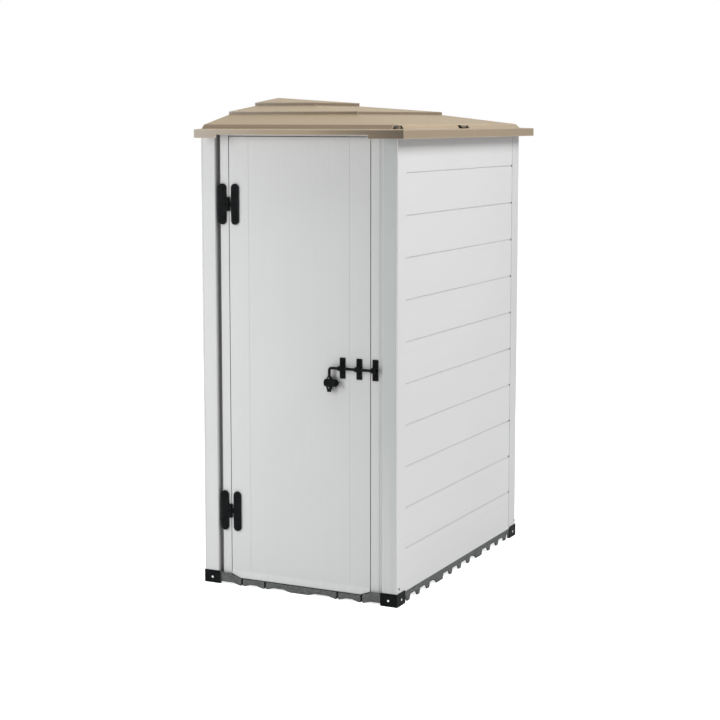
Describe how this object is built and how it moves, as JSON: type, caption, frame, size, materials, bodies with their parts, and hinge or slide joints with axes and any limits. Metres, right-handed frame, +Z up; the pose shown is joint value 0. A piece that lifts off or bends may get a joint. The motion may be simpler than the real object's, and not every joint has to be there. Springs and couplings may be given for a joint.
{
  "type": "garden shed",
  "caption": "Narrow resin garden shed with grooved wall panels, a hinged door with a sliding bolt, tiled plinth floor and stepped half-pyramid roof.",
  "frame": {"origin": "on the ground, under the middle of the tiled floor, midway between the two side walls and between the front and rear posts", "axes": "+Z up; -Y is the front, which has the door; +X is the side under the roof's right eaves"},
  "size_m": [0.8752, 1.325, 1.8855],
  "materials": {
    "wall_plastic": "matt moulded resin, light grey-white",
    "frame_plastic": "matt extruded resin, light grey",
    "door_plastic": "matt moulded resin, light grey",
    "roof_plastic": "satin moulded resin, taupe",
    "floor_plastic": "matt moulded resin, mid grey",
    "black_plastic": "matt black moulded plastic",
    "black_metal": "black coated steel bar",
    "pin_steel": "black coated steel pin",
    "screw_steel": "bright zinc-plated screw",
    "beam_steel": "galvanised steel tube"
  },
  "bodies": {
    "shed": {"floor_tile_front_left": "floor_plastic", "floor_tile_front_right": "floor_plastic", "floor_tile_middle_left": "floor_plastic", "floor_tile_middle_right": "floor_plastic", "floor_tile_rear_left": "floor_plastic", "floor_tile_rear_right": "floor_plastic", "foot_bracket_front_left": "black_plastic", "post_front_left": "frame_plastic", "foot_bracket_front_right": "black_plastic", "post_front_right": "frame_plastic", "foot_bracket_rear_left": "black_plastic", "post_rear_left": "frame_plastic", "foot_bracket_rear_right": "black_plastic", "post_rear_right": "frame_plastic", "foot_bracket_screws": "screw_steel", "post_screws": "screw_steel", "roof_clip_screws": "screw_steel", "jamb_left": "frame_plastic", "jamb_right": "frame_plastic", "head_rail": "frame_plastic", "wall_right": "wall_plastic", "wall_left": "wall_plastic", "wall_rear": "wall_plastic", "gable_panel": "roof_plastic", "roof_front": "roof_plastic", "roof_rear": "roof_plastic", "roof_clip_side": "roof_plastic", "roof_clip_corner": "roof_plastic", "roof_beam": "beam_steel", "hinge_upper_jamb_leaf": "black_plastic", "hinge_lower_jamb_leaf": "black_plastic", "hinge_jamb_screws": "black_plastic", "bolt_keeper": "black_plastic", "bolt_keeper_screws": "black_plastic", "hinge_upper_pin": "pin_steel", "hinge_lower_pin": "pin_steel"},
    "door": {"door_panel": "door_plastic", "hinge_upper_door_leaf": "black_plastic", "hinge_lower_door_leaf": "black_plastic", "hinge_door_screws": "black_plastic", "bolt_guide_inner": "black_plastic", "bolt_guide_outer": "black_plastic", "bolt_guide_screws": "black_plastic"},
    "bolt_rod": {"bolt_rod": "black_metal"},
    "bolt_handle": {"bolt_arm": "black_metal", "bolt_grip": "black_plastic", "bolt_rivets": "screw_steel"}
  },
  "joints": [
    {"name": "door_swing", "type": "hinge", "parent": "shed", "child": "door", "pos_m": [-0.2985, -0.6075, 0.885], "axis": [0, 0, -1], "range_deg": [0, 110]},
    {"name": "bolt_slide", "type": "slide", "parent": "door", "child": "bolt_rod", "axis": [1, 0, 0], "range_m": [-0.02, 0.024]},
    {"name": "bolt_turn", "type": "hinge", "parent": "bolt_rod", "child": "bolt_handle", "pos_m": [0.148, -0.6165, 0.881], "axis": [-1, 0, 0], "range_deg": [0, 180]}
  ]
}
